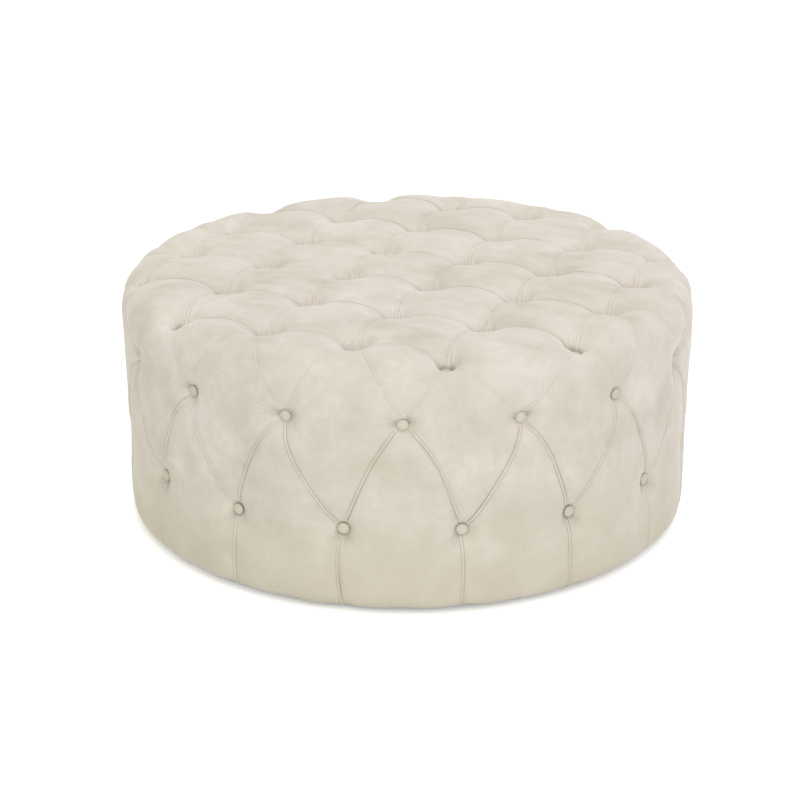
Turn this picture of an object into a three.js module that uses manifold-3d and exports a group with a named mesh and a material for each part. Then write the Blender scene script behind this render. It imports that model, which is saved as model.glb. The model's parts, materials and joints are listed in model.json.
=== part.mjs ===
// Round button-tufted ottoman. A drum of plywood, timber posts and bent hardboard is padded
// with foam and wrapped in one velvet cover. Covered buttons pull the cover into the foam.
// Millimetres, +Z up. The origin is on the floor at the drum's axis, and the square grid of
// top buttons runs along X and Y.
import * as THREE from 'three';
import { mergeVertices } from 'three/addons/utils/BufferGeometryUtils.js';
import Module from 'manifold-3d';

const wasm = await Module();
wasm.setup();

// Overall size
const DIAMETER = 1016; // 40 inches
const HEIGHT = 444.5; // 17.5 inches
const RIM_RADIUS = 60; // rounding of the padded top edge
const HEM_RADIUS = 25; // rounding where the cover turns under

// Layers
const GAP = 0.3; // clearance between neighbouring pieces
const COVER_T = 2.4; // velvet with its wadding
const TOP_FOAM_T = 76;
const SIDE_FOAM_T = 24;
const PANEL_T = 3;
const DECK_T = 15;
const BASE_T = 18;
const DUST_T = 0.8;
const GLIDE_T = 6;
const HEM_LAP = 27; // how far the cover's hem reaches in under the base board

// Frame and feet
const POST_SIDE = 38;
const RIM_POSTS = 6;
const POST_CIRCLE = 440;
const POST_TURN = Math.PI / 12; // keeps the posts between the rows of twine
const GLIDES = 6;
const GLIDE_CIRCLE = 430;
const GLIDE_RADIUS = 15;
const GLIDE_NAIL = 3;
const GLIDE_NAIL_LENGTH = 14;
const PANEL_SEAM_TURN = Math.PI / 32; // puts the panel seams between two buttons

// Tufting
const PITCH = 158.5; // spacing of the top buttons along X and along Y
const GRID = 6; // rows of top buttons, with the four corners left out
const SIDE_BUTTONS = 16; // in each of the two side rows
const UPPER_Z = 330;
const LOWER_Z = 146;
const BUTTON_RADIUS = 11;
const BUTTON_EDGE = 2; // height of the widest part of a button above its back
const BUTTON_T = 9;
const BUTTON_SIDES = 8;
const SHANK = 2.4; // twine under a top button, nail behind a side button
const SHANK_HOLE = 3.4;
const NAIL_LENGTH = 16;
const TOP_WELL = { depth: 38, floor: 13.5, mouth: 34 };
const SIDE_WELL = { depth: 22, floor: 13.5, mouth: 30 };
const WELL_SIDES = 6;

// Facets
const ROUND = 48;
const RIM_STEPS = 4;
const HEM_STEPS = 2;
const REACH = 6; // how far a cutting shape runs past what it cuts

// Heights and radii that follow from the layers
const radius = DIAMETER / 2;
const hemZ = GLIDE_T + GAP + DUST_T + GAP;
const baseZ = hemZ + COVER_T + GAP;
const foamTopZ = HEIGHT - COVER_T - GAP;
const foamZ = foamTopZ - TOP_FOAM_T;
const deckZ = foamZ - GAP - DECK_T;
const foamInset = COVER_T + GAP;
const panelOuter = radius - foamInset - SIDE_FOAM_T;
const panelInner = panelOuter - PANEL_T;
const boardRadius = panelInner - GAP;
const hemInner = boardRadius - HEM_LAP;
const buttonSeat = radius - SIDE_WELL.depth + GAP;

const cloth = { roughness: 0.9, metalness: 0 };
const MATERIALS = {
  velvet: new THREE.MeshStandardMaterial({ color: 0xdcd3c6, ...cloth }),
  button: new THREE.MeshStandardMaterial({ color: 0xd8cebf, ...cloth }),
  foam: new THREE.MeshStandardMaterial({ color: 0xf0e6c0, ...cloth }),
  nonwoven: new THREE.MeshStandardMaterial({ color: 0x2b2b2d, ...cloth }),
  plywood: new THREE.MeshStandardMaterial({ color: 0xcfae7c, roughness: 0.7, metalness: 0 }),
  timber: new THREE.MeshStandardMaterial({ color: 0xd9bd8d, roughness: 0.7, metalness: 0 }),
  hardboard: new THREE.MeshStandardMaterial({ color: 0x7a5a3c, roughness: 0.6, metalness: 0 }),
  plastic: new THREE.MeshStandardMaterial({ color: 0x303030, roughness: 0.5, metalness: 0 }),
};

const ottoman = new THREE.Group();

// Turns a closed three.js geometry into a manifold solid.
function toSolid(geometry) {
  const bare = geometry.clone();
  bare.deleteAttribute('normal');
  bare.deleteAttribute('uv');
  const merged = mergeVertices(bare, 1e-4);
  const triVerts = [];
  for (let i = 0; i < merged.index.count; i += 3) {
    const [a, b, c] = [0, 1, 2].map((k) => merged.index.getX(i + k));
    if (a !== b && b !== c && c !== a) triVerts.push(a, b, c);
  }
  return new wasm.Manifold(new wasm.Mesh({
    numProp: 3,
    vertProperties: new Float32Array(merged.attributes.position.array),
    triVerts: new Uint32Array(triVerts),
  }));
}

function toGeometry(solid) {
  const mesh = solid.getMesh();
  const geometry = new THREE.BufferGeometry();
  geometry.setAttribute('position', new THREE.BufferAttribute(mesh.vertProperties, 3));
  geometry.setIndex(new THREE.BufferAttribute(mesh.triVerts, 1));
  geometry.computeVertexNormals();
  return geometry;
}

function addPiece(name, solid, material, turn = 0) {
  const piece = new THREE.Mesh(toGeometry(solid), MATERIALS[material]);
  piece.name = name;
  piece.rotation.z = turn;
  ottoman.add(piece);
}

function arc(centreR, centreZ, r, from, to, steps) {
  const points = [];
  for (let i = 0; i <= steps; i += 1) {
    const angle = from + (to - from) * (i / steps);
    points.push(new THREE.Vector2(centreR + r * Math.cos(angle), centreZ + r * Math.sin(angle)));
  }
  return points;
}

function lathe(points, sides = ROUND) {
  return toSolid(new THREE.LatheGeometry(points, sides).rotateX(Math.PI / 2));
}

// The padded drum's outline, moved inwards by inset.
function drum(inset) {
  return lathe([
    new THREE.Vector2(0, hemZ + inset),
    ...arc(radius - HEM_RADIUS, hemZ + HEM_RADIUS, HEM_RADIUS - inset, -Math.PI / 2, 0, HEM_STEPS),
    ...arc(radius - RIM_RADIUS, HEIGHT - RIM_RADIUS, RIM_RADIUS - inset, 0, Math.PI / 2, RIM_STEPS),
    new THREE.Vector2(0, HEIGHT - inset),
  ]);
}

function disc(r, bottom, thickness, sides = ROUND) {
  const geometry = new THREE.CylinderGeometry(r, r, thickness, sides);
  return toSolid(geometry.rotateX(Math.PI / 2).translate(0, 0, bottom + thickness / 2));
}

function box(sizeX, sizeY, sizeZ, x, y, z) {
  return toSolid(new THREE.BoxGeometry(sizeX, sizeY, sizeZ).translate(x, y, z));
}

function join(solids) {
  return solids.reduce((whole, solid) => whole.add(solid));
}

// Places of the top buttons, row by row.
function topRows() {
  const last = (GRID - 1) / 2;
  const rows = [];
  for (let j = -last; j <= last; j += 1) {
    const row = [];
    for (let i = -last; i <= last; i += 1) {
      const corner = Math.abs(i) === last && Math.abs(j) === last;
      if (!corner) row.push({ x: i * PITCH, y: j * PITCH });
    }
    rows.push(row);
  }
  return rows;
}

// Places of the side buttons: the lower row sits half a step round from the upper one.
function sideButtons() {
  const step = (2 * Math.PI) / SIDE_BUTTONS;
  const places = [];
  for (let i = 0; i < SIDE_BUTTONS; i += 1) {
    const number = String(i + 1).padStart(2, '0');
    places.push({ name: `upper_button_${number}`, angle: i * step, z: UPPER_Z });
    places.push({ name: `lower_button_${number}`, angle: (i + 0.5) * step, z: LOWER_Z });
  }
  return places;
}

// A tapered plug for one dimple, its mouth at height 0 on the Y axis, grown by grow all round.
function wellPlug(well, grow) {
  const slope = (well.mouth - well.floor) / well.depth;
  const spread = grow * Math.hypot(1, slope);
  const bottom = well.floor + spread - slope * grow;
  const top = well.mouth + spread + slope * REACH;
  const length = well.depth + grow + REACH;
  return new THREE.CylinderGeometry(top, bottom, length, WELL_SIDES)
    .translate(0, REACH - length / 2, 0);
}

function topWells(grow) {
  return join(topRows().flat().map(({ x, y }) => toSolid(
    wellPlug(TOP_WELL, grow).rotateX(Math.PI / 2).translate(x, y, HEIGHT),
  )));
}

function sideWells(grow) {
  return join(sideButtons().map(({ angle, z }) => toSolid(
    wellPlug(SIDE_WELL, grow).rotateZ(-Math.PI / 2).translate(radius, 0, z).rotateZ(angle),
  )));
}

function topHoles(bottom, top) {
  return join(topRows().flat().map(({ x, y }) => (
    box(SHANK_HOLE, SHANK_HOLE, top - bottom, x, y, (top + bottom) / 2)
  )));
}

function sideHoles(inner, outer) {
  const middle = (inner + outer) / 2;
  return join(sideButtons().map(({ angle, z }) => toSolid(
    new THREE.BoxGeometry(outer - inner, SHANK_HOLE, SHANK_HOLE)
      .translate(middle, 0, z).rotateZ(angle),
  )));
}

function glideHoles(bottom, top) {
  const size = GLIDE_NAIL + 2 * GAP;
  const step = (2 * Math.PI) / GLIDES;
  const holes = [];
  for (let i = 0; i < GLIDES; i += 1) {
    holes.push(toSolid(new THREE.BoxGeometry(size, size, top - bottom)
      .translate(GLIDE_CIRCLE, 0, (top + bottom) / 2).rotateZ(i * step)));
  }
  return join(holes);
}

function makeCover() {
  const outside = drum(0).subtract(topWells(0)).subtract(sideWells(0));
  const inside = drum(COVER_T).subtract(topWells(COVER_T)).subtract(sideWells(COVER_T));
  const wellFloorZ = HEIGHT - TOP_WELL.depth;
  const wellFloorR = radius - SIDE_WELL.depth;
  const skin = outside.subtract(inside)
    .subtract(disc(hemInner, hemZ - REACH, COVER_T + 2 * REACH))
    .subtract(topHoles(wellFloorZ - REACH, wellFloorZ + REACH))
    .subtract(sideHoles(wellFloorR - REACH, wellFloorR + REACH));
  addPiece('velvet_cover', skin, 'velvet');
}

function makeFoam() {
  const padding = drum(foamInset);
  const above = disc(radius, foamZ, TOP_FOAM_T + REACH);
  const top = padding.intersect(above)
    .subtract(topWells(foamInset))
    .subtract(topHoles(foamZ - REACH, foamTopZ));
  addPiece('top_foam', top, 'foam');
  const below = disc(radius, hemZ, foamZ - GAP - hemZ);
  const side = padding.intersect(below)
    .subtract(disc(panelOuter + GAP, 0, HEIGHT))
    .subtract(sideWells(foamInset))
    .subtract(sideHoles(panelOuter - REACH, radius));
  addPiece('side_foam', side, 'foam');
}

function makeFrame() {
  const glideHole = glideHoles(-REACH, baseZ + BASE_T + REACH);
  addPiece('base_board', disc(boardRadius, baseZ, BASE_T).subtract(glideHole), 'plywood');
  const deck = disc(boardRadius, deckZ, DECK_T);
  addPiece('top_deck', deck.subtract(topHoles(deckZ - REACH, deckZ + DECK_T + REACH)), 'plywood');
  addPiece('dust_cover', disc(boardRadius, GLIDE_T + GAP, DUST_T).subtract(glideHole), 'nonwoven');
  const postZ = baseZ + BASE_T + GAP;
  const postLength = deckZ - GAP - postZ;
  const middle = postZ + postLength / 2;
  addPiece('centre_post', box(POST_SIDE, POST_SIDE, postLength, 0, 0, middle), 'timber');
  for (let i = 0; i < RIM_POSTS; i += 1) {
    const post = box(POST_SIDE, POST_SIDE, postLength, POST_CIRCLE, 0, middle);
    addPiece(`rim_post_${i + 1}`, post, 'timber', POST_TURN + (i * 2 * Math.PI) / RIM_POSTS);
  }
}

// Two sheets of hardboard bent round the boards, each covering half the drum.
function makePanels() {
  const top = deckZ + DECK_T;
  const ring = disc(panelOuter, baseZ, top - baseZ)
    .subtract(disc(panelInner, baseZ - REACH, top - baseZ + 2 * REACH))
    .subtract(sideHoles(panelInner - REACH, panelOuter + REACH));
  const half = DIAMETER / 2;
  for (const [name, side] of [['side_panel_1', 1], ['side_panel_2', -1]]) {
    const keep = toSolid(new THREE.BoxGeometry(2 * DIAMETER, half, HEIGHT)
      .translate(0, side * (half / 2 + GAP / 2), HEIGHT / 2).rotateZ(PANEL_SEAM_TURN));
    addPiece(name, ring.intersect(keep), 'hardboard');
  }
}

function makeGlides() {
  const step = (2 * Math.PI) / GLIDES;
  const edge = GLIDE_T / 3;
  const nailTop = GLIDE_T + GLIDE_NAIL_LENGTH;
  for (let i = 0; i < GLIDES; i += 1) {
    const foot = lathe([
      new THREE.Vector2(0, 0),
      new THREE.Vector2(GLIDE_RADIUS - edge, 0),
      new THREE.Vector2(GLIDE_RADIUS, edge),
      new THREE.Vector2(GLIDE_RADIUS, GLIDE_T),
      new THREE.Vector2(0, GLIDE_T),
    ], 16);
    const nail = box(GLIDE_NAIL, GLIDE_NAIL, nailTop - edge, 0, 0, (nailTop + edge) / 2);
    const glide = foot.add(nail);
    addPiece(`glide_${i + 1}`, glide.translate(GLIDE_CIRCLE, 0, 0), 'plastic', i * step);
  }
}

// A covered button, its domed face up and the middle of its back at height 0 on the Z axis.
function buttonHead() {
  return lathe([
    new THREE.Vector2(0, 0),
    new THREE.Vector2(BUTTON_RADIUS, BUTTON_EDGE),
    new THREE.Vector2(BUTTON_RADIUS * 0.6, BUTTON_T - 1),
    new THREE.Vector2(0, BUTTON_T),
  ], BUTTON_SIDES);
}

// Each side button is a covered head on a nail that is driven through the hardboard.
function makeSideButtons() {
  const nail = box(SHANK, SHANK, NAIL_LENGTH + 1, 0, 0, -NAIL_LENGTH / 2 + 0.5);
  const button = buttonHead().add(nail).rotate([0, 90, 0]);
  for (const { name, angle, z } of sideButtons()) {
    addPiece(name, button.translate(buttonSeat, 0, z), 'button', angle);
  }
}

// Each row of top buttons is tied down by one twine, which runs along under the deck.
function makeTopButtons() {
  const seatZ = HEIGHT - TOP_WELL.depth + GAP;
  const twineZ = deckZ - GAP - SHANK / 2;
  const drop = seatZ + 1 - twineZ;
  topRows().forEach((row, index) => {
    const { y } = row[0];
    const ends = row.at(-1).x - row[0].x + SHANK;
    const parts = [box(ends, SHANK, SHANK, 0, y, twineZ)];
    for (const { x } of row) {
      parts.push(buttonHead().translate(x, y, seatZ));
      parts.push(box(SHANK, SHANK, drop, x, y, twineZ + drop / 2));
    }
    addPiece(`top_button_row_${index + 1}`, join(parts), 'button');
  });
}

makeCover();
makeFoam();
makeFrame();
makePanels();
makeGlides();
makeSideButtons();
makeTopButtons();

export default ottoman;
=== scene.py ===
# Looks of the round button-tufted ottoman: one velvet cover with pleats and covered buttons
# over foam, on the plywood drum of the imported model. Metres, +Z up.
import json
import math

import bpy
import numpy as np
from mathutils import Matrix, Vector


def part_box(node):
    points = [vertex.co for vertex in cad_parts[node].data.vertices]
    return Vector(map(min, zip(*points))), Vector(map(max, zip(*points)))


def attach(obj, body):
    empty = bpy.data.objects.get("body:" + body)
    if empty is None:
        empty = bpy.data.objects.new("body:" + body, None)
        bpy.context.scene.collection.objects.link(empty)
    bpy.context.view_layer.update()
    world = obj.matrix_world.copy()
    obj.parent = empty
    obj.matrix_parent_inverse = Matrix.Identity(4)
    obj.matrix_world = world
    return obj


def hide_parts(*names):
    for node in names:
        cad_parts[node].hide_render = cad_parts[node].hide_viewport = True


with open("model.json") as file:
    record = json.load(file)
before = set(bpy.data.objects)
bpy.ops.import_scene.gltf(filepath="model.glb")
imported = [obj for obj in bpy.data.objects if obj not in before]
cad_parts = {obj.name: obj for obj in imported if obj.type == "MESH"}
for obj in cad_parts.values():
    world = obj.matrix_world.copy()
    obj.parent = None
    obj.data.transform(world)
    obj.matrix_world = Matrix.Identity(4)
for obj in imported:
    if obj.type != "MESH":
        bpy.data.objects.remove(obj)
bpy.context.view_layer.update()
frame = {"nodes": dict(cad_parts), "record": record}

MM = 0.001
RNG = np.random.default_rng(7)  # the only source of chance, so every run gives the same result

# ---- the drum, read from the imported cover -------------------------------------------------
COVER_LOW, COVER_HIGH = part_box("velvet_cover")
RADIUS = COVER_HIGH.x
TOP = COVER_HIGH.z
HEM_Z = COVER_LOW.z
RIM = 60 * MM  # rounding of the padded rim
HEM = 24 * MM  # rounding of the hem
HEM_INNER = 452 * MM  # the turned-under hem ends at this radius
# Arc lengths from the middle of the top, along the outline, to the start of each stretch
S_RIM = RADIUS - RIM
S_WALL = S_RIM + RIM * math.pi / 2
S_ROLL = S_WALL + (TOP - RIM) - (HEM_Z + HEM)
S_HEM = S_ROLL + HEM * math.pi / 2
WALL_EASE = 4 * MM  # the wall draws in by this much below the upper buttons

# ---- tufting ------------------------------------------------------------------------------
SIDE_COUNT = 16
STEP = 2 * math.pi / SIDE_COUNT
GRID = 6  # rows of top buttons, with the four corners left out
EDGE = GRID - 1  # the outer buttons' place on the grid, in half pitches from the middle
ROW_LOWS = [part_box(f"top_button_row_{row + 1}")[0] for row in range(GRID)]
PITCH = (ROW_LOWS[-1].y - ROW_LOWS[0].y) / EDGE


def middle_height(node_name):
    low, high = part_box(node_name)
    return (low.z + high.z) / 2


UPPER_Z = middle_height("upper_button_01")
LOWER_Z = middle_height("lower_button_01")
BUTTON_R = 9.6 * MM
BUTTON_T = 7 * MM
SHANK = 2.4 * MM  # thickness of a top button's twine and of a side button's nail
NAIL_LENGTH = 15 * MM
TOP_SEAT = 3 * MM  # how far a top button's back sits under the bottom of its dimple
SIDE_SEAT = 3.5 * MM

TOP_DEPTH = 38 * MM  # how far a button sits below the crown
SIDE_DEPTH = 19 * MM
TOP_REACH = 14.5 * MM  # how quickly a dimple flattens out
SIDE_REACH = 14 * MM
SIDE_ROUND = 1.3  # above 1, a side dimple's bottom is rounder than a top one's
FLAT = 9.5 * MM  # a dimple is flat under its button
# The valley along each kind of pleat: its depth half way, its depth at the buttons, its half-width
VALLEY = {
    "row": (2.4 * MM, 11 * MM, 79 * MM),
    "column": (1.7 * MM, 4.5 * MM, 79 * MM),
    "rim": (1.6 * MM, 5 * MM, 60 * MM),
    "side": (2.0 * MM, 3.5 * MM, 60 * MM),
    "hem": (2.2 * MM, 3 * MM, 55 * MM),
}
VALLEY_REACH = 22 * MM  # how quickly a valley gets shallower away from its buttons
VALLEY_BLEND = 5  # where valleys meet, a higher number joins them more sharply
DIMPLE_SPREAD = 130 * MM  # a dimple has faded to nothing at this distance
HEM_SAG = 1.5 * MM  # how far the hem hangs between its pleats
SAG_BELOW = 14 * MM  # from the sag's lowest line to the end of the roll
SAG_ABOVE = 45 * MM  # from the sag's lowest line up to where the sag starts
PILLOW_POWER = 1.45  # 1 is a straight-sided pillow, 2 a half-round one
CORNERS = (2, 6, 10, 14)  # upper buttons that stand below a missing corner button
FRONT = math.radians(-66)  # the side pleats bow away from this angle
BOW_SPREAD = 0.02  # how much the pleats' bows differ, as a share of a pleat's length
COLUMN_BOW = 0.06  # how far the pleats of each kind bow, the same way
SIDE_BOW = 0.062

# Where the mesh's rows lie between a pleat and the middle of a pillow: fine beside the pleat
WARP = np.array([0, 2.5, 6, 11, 17, 24.5, 35, 53, 79]) / 79
WELD = 0.2 * MM  # points of two patches become one where they meet within about this
DETAIL = 2  # subdivisions after the simulation

CLEAR = 8 * MM  # folds and creases start this far from a button's middle
LIP = 2.4 * MM  # from a tuck's deep groove to the middle of its lip
SECOND_GROOVE = 4.8 * MM
FAN_DEGREES = {"top": (50, 140), "upper": (155, 28), "lower": (236, 306)}


# ---- the base drum ------------------------------------------------------------------------
def outline(s):
    """Radius, height, and outward normal (radial, up) of the plain drum at arc length s."""
    s = np.asarray(s, float)
    a = np.clip((s - S_RIM) / RIM, 0, math.pi / 2)
    b = np.clip((s - S_ROLL) / HEM, 0, math.pi / 2)
    wall = np.clip(s - S_WALL, 0, S_ROLL - S_WALL)
    r = np.minimum(s, S_RIM) + RIM * np.sin(a) - HEM * (1 - np.cos(b)) - np.clip(s - S_HEM, 0, None)
    z = TOP - RIM * (1 - np.cos(a)) - wall - HEM * np.sin(b)
    return r, z, np.sin(a) * np.cos(b), np.cos(a) * (b <= 0) - np.sin(b)


def place(theta, s):
    """Points and outward normals of the plain drum at an angle and an arc length."""
    r, z, out, up = outline(s)
    x, y = np.cos(theta), np.sin(theta)
    return np.stack([r * x, r * y, z], -1), np.stack([out * x, out * y, up], -1)


def to_polar(x, y, near):
    """The angle, close to the angle near, and the arc length of a point on the top."""
    r = np.hypot(x, y)
    s = np.where(r < S_RIM, r, S_RIM + RIM * np.arcsin(np.clip((r - S_RIM) / RIM, 0, 1)))
    return turn_near(np.arctan2(y, x), near), s


def turn_near(theta, near):
    """The same direction as theta, as an angle within half a turn of the angle near."""
    return near + (theta - near + math.pi) % (2 * math.pi) - math.pi


def wall_s(z):
    """Arc length of a height on the wall."""
    return S_WALL + TOP - RIM - z


# ---- buttons, pleats and cells ------------------------------------------------------------
# A button is ("top", i, j), in half pitches from the middle, or ("upper", k) or ("lower", k),
# counted round the drum. A pleat's end at the hem is ("hem", k).
def top_button(i, j):
    return ("top", i, j)


def top_xy(button):
    return button[1] * PITCH / 2, button[2] * PITCH / 2


def side_angle(kind, k):
    """The k-th angle; the lower buttons and the hem's pleats stand half a step on from the upper."""
    return (k + (0 if kind == "upper" else 0.5)) * STEP


def node_polar(node, near=0.0):
    """A button's angle, close to the angle near, and its arc length."""
    kind = node[0]
    if kind == "top":
        theta, s = to_polar(*top_xy(node), near)
        return float(theta), float(s)
    s = {"upper": wall_s(UPPER_Z), "lower": wall_s(LOWER_Z), "hem": S_HEM}[kind]
    return turn_near(side_angle(kind, node[1]), near), s


def has_top(i, j):
    return abs(i) <= EDGE and abs(j) <= EDGE and not (abs(i) == EDGE and abs(j) == EDGE)


GRID_PLACES = range(-EDGE, EDGE + 1, 2)
TOPS = [top_button(i, j) for j in GRID_PLACES for i in GRID_PLACES if has_top(i, j)]
RING = sorted((t for t in TOPS if max(abs(t[1]), abs(t[2])) == EDGE),
              key=lambda t: math.atan2(t[2], t[1]) % (2 * math.pi))


def ring(k):
    """The k-th of the 16 outer top buttons, anticlockwise."""
    return RING[k % SIDE_COUNT]


def upper(k):
    return ("upper", k % SIDE_COUNT)


def lower(k):
    return ("lower", k % SIDE_COUNT)


def hem(k):
    return ("hem", k % SIDE_COUNT)


def find_pleats():
    """Every pleat as (start, end, kind)."""
    pleats = []
    for _, i, j in TOPS:
        for di, dj, kind in ((2, 0, "row"), (0, 2, "column")):
            if has_top(i + di, j + dj):
                pleats.append((top_button(i, j), top_button(i + di, j + dj), kind))
    for k in range(SIDE_COUNT):
        pleats.append((ring(k - 1), upper(k), "rim"))
        pleats.append((ring(k), upper(k), "rim"))
    for k in range(SIDE_COUNT):
        pleats.append((upper(k), lower(k - 1), "side"))
        pleats.append((upper(k), lower(k), "side"))
    for k in range(SIDE_COUNT):
        pleats.append((lower(k), hem(k), "hem"))
    return pleats


PLEATS = find_pleats()
PLEAT_OF = {frozenset(p[:2]): p for p in PLEATS}


def find_cells():
    """Every patch between pleats, its corners anticlockwise from outside."""
    cells = []
    for i in GRID_PLACES:
        for j in GRID_PLACES:
            around = [(i, j), (i + 2, j), (i + 2, j + 2), (i, j + 2)]
            if all(has_top(*c) for c in around):
                cells.append([top_button(*c) for c in around])
    for k in range(SIDE_COUNT):
        if k in CORNERS:
            inner = [(EDGE - 2) * int(math.copysign(1, f(k * STEP))) for f in (math.cos, math.sin)]
            cells.append([top_button(*inner), ring(k - 1), upper(k), ring(k)])
        else:
            cells.append([ring(k - 1), upper(k), ring(k)])
        cells.append([ring(k), upper(k), lower(k), upper(k + 1)])
        cells.append([upper(k), lower(k - 1), hem(k - 1), hem(k), lower(k)])
    return cells


def find_bows():
    """How far each pleat bows sideways, as a share of its length."""
    bows = {}
    for start, end, kind in PLEATS:
        bow = RNG.normal(0, BOW_SPREAD)
        if kind == "column":
            bow += COLUMN_BOW
        if kind == "side":
            first = node_polar(start)[0]
            middle = (first + node_polar(end, first)[0]) / 2
            bow += SIDE_BOW * math.copysign(1, math.sin(middle - FRONT))
        bows[frozenset((start, end))] = bow
    return bows


BOW = find_bows()


def curve_polar(start, end, t, near):
    """Points of the line between two neighbouring buttons, as angle and arc length."""
    key = frozenset((start, end))
    if key in PLEAT_OF and PLEAT_OF[key][0] != start:
        return curve_polar(end, start, 1 - t, near)
    bow = BOW.get(key, 0.0) * np.sin(math.pi * t) * (1 + 0.5 * np.cos(math.pi * t))
    if start[0] == "top" and end[0] == "top":
        x, y = curve_plane(start, end, t)
        return to_polar(x, y, near)
    a0, s0 = node_polar(start, near)
    a1, s1 = node_polar(end, near)
    width = RADIUS * (a1 - a0)
    height = s1 - s0
    return a0 + (a1 - a0) * t + bow * height / RADIUS, s0 + height * t - bow * width


def curve_plane(start, end, t):
    """Points of the line between two top buttons, in the plane."""
    key = frozenset((start, end))
    if PLEAT_OF[key][0] != start:
        return curve_plane(end, start, 1 - t)
    bow = BOW[key] * np.sin(math.pi * t)
    x0, y0 = top_xy(start)
    x1, y1 = top_xy(end)
    return x0 + (x1 - x0) * t - bow * (y1 - y0), y0 + (y1 - y0) * t + bow * (x1 - x0)


def patch(corner, after, before, centre, curve):
    """The quarter of a cell at one corner, between its pleats to the corners after and before.

    It is a grid of points in the plane that the curve function works in.
    """
    u, v = WARP[:, None, None], WARP[None, :, None]
    along = np.stack(curve(corner, after, WARP / 2), -1)[:, None]
    across = np.stack(curve(corner, before, WARP / 2), -1)[None]
    here, mid_after, mid_before = along[0, 0], along[-1, 0], across[0, -1]
    far_side = mid_before + (centre - mid_before) * u
    far_end = mid_after + (centre - mid_after) * v
    ruled = (1 - v) * along + v * far_side + (1 - u) * across + u * far_end
    flat = ((1 - u) * (1 - v) * here + u * (1 - v) * mid_after
            + (1 - u) * v * mid_before + u * v * centre)
    return ruled - flat


def cell_points(cell):
    """The base points of a cell, one grid for each of its corners."""
    flat = all(c[0] == "top" for c in cell)
    if flat:
        curve = curve_plane
        centre = np.mean([top_xy(c) for c in cell], 0)
    else:
        near = node_polar(next(c for c in cell if c[0] != "top"))[0]
        centre = np.mean([node_polar(c, near) for c in cell], 0)

        def curve(start, end, t):
            return curve_polar(start, end, t, near)

    for n, corner in enumerate(cell):
        grid = patch(corner, cell[(n + 1) % len(cell)], cell[n - 1], centre, curve)
        if flat:
            grid = np.stack(to_polar(grid[..., 0], grid[..., 1], 0.0), -1)
        yield grid


def under_strips():
    """The turned-under hem: rows from the roll to the inner edge, pleat by pleat."""
    share = np.concatenate([WARP / 2, 1 - WARP[-2::-1] / 2])
    rows = np.linspace(S_HEM, S_HEM + (RADIUS - HEM - HEM_INNER), 4)
    for k in range(SIDE_COUNT):
        theta = (k - 0.5 + share) * STEP
        yield np.stack(np.meshgrid(rows, theta, indexing="xy"), -1)[..., ::-1]


def weld(grids):
    """Joins grids of base points into one mesh: polar coordinates and quads."""
    polar, faces, start = [], [], 0
    for grid in grids:
        rows, columns = grid.shape[:2]
        index = start + np.arange(rows * columns).reshape(rows, columns)
        faces.append(np.stack([index[:-1, :-1], index[1:, :-1], index[1:, 1:], index[:-1, 1:]], -1)
                     .reshape(-1, 4))
        polar.append(grid.reshape(-1, 2))
        start += rows * columns
    polar, faces = np.concatenate(polar), np.concatenate(faces)
    points, _ = place(polar[:, 0], polar[:, 1])
    keys = np.round(points / WELD).astype(np.int64)
    _, first, same = np.unique(keys, axis=0, return_index=True, return_inverse=True)
    return polar[first], same.reshape(-1)[faces]


# ---- how far the cover sinks --------------------------------------------------------------
def nearest_on(line, points):
    """For each point, the distance to a line, the share along it and the closest place on it."""
    start, step = line[:-1], np.diff(line, axis=0)
    length2 = (step ** 2).sum(-1)
    best = np.full(len(points), np.inf)
    share = np.zeros(len(points))
    foot = np.zeros_like(points)
    for k in range(len(start)):
        t = np.clip(((points - start[k]) @ step[k]) / length2[k], 0, 1)
        at = start[k] + t[:, None] * step[k]
        d = np.linalg.norm(points - at, axis=1)
        closer = d < best
        best[closer] = d[closer]
        share[closer] = (k + t[closer]) / len(start)
        foot[closer] = at[closer]
    return best, share, foot


def pleat_line(start, end, steps=16):
    """A pleat's line on the plain drum, as steps + 1 points."""
    t = np.linspace(0, 1, steps + 1)
    near = node_polar(end if end[0] != "top" else start)[0]
    theta, s = curve_polar(start, end, t, near)
    return place(theta, s)[0]


def from_button(t, line, kind):
    """Distance along a pleat to its nearer button; a hem pleat has one only at its start."""
    length = np.linalg.norm(np.diff(line, axis=0), axis=1).sum()
    return np.minimum(t, 1 if kind == "hem" else 1 - t) * length


def close_to(points, line, reach):
    """Numbers of the points in the box around a line, grown by reach."""
    low, high = line.min(0) - reach, line.max(0) + reach
    return np.nonzero(((points > low) & (points < high)).all(1))[0]


def rise(x, start, length):
    """0 up to start, then up to 1 over the length."""
    return np.clip((x - start) / length, 0, 1)


def raise_to(field, some, values):
    """Where the new values are larger than the field's, they replace them."""
    field[some] = np.maximum(field[some], values)


def button_nodes():
    """Each button, its point on the plain drum, the way it faces, its dimple's depth and reach."""
    for node in TOPS + [f(k) for k in range(SIDE_COUNT) for f in (upper, lower)]:
        theta, s = node_polar(node)
        point, _ = place(np.array(theta), np.array(s))
        if node[0] == "top":
            yield node, point, np.array([0.0, 0.0, 1.0]), TOP_DEPTH, TOP_REACH
        else:
            out = np.array([math.cos(theta), math.sin(theta), 0.0])
            yield node, point, out, SIDE_DEPTH, SIDE_REACH


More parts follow.
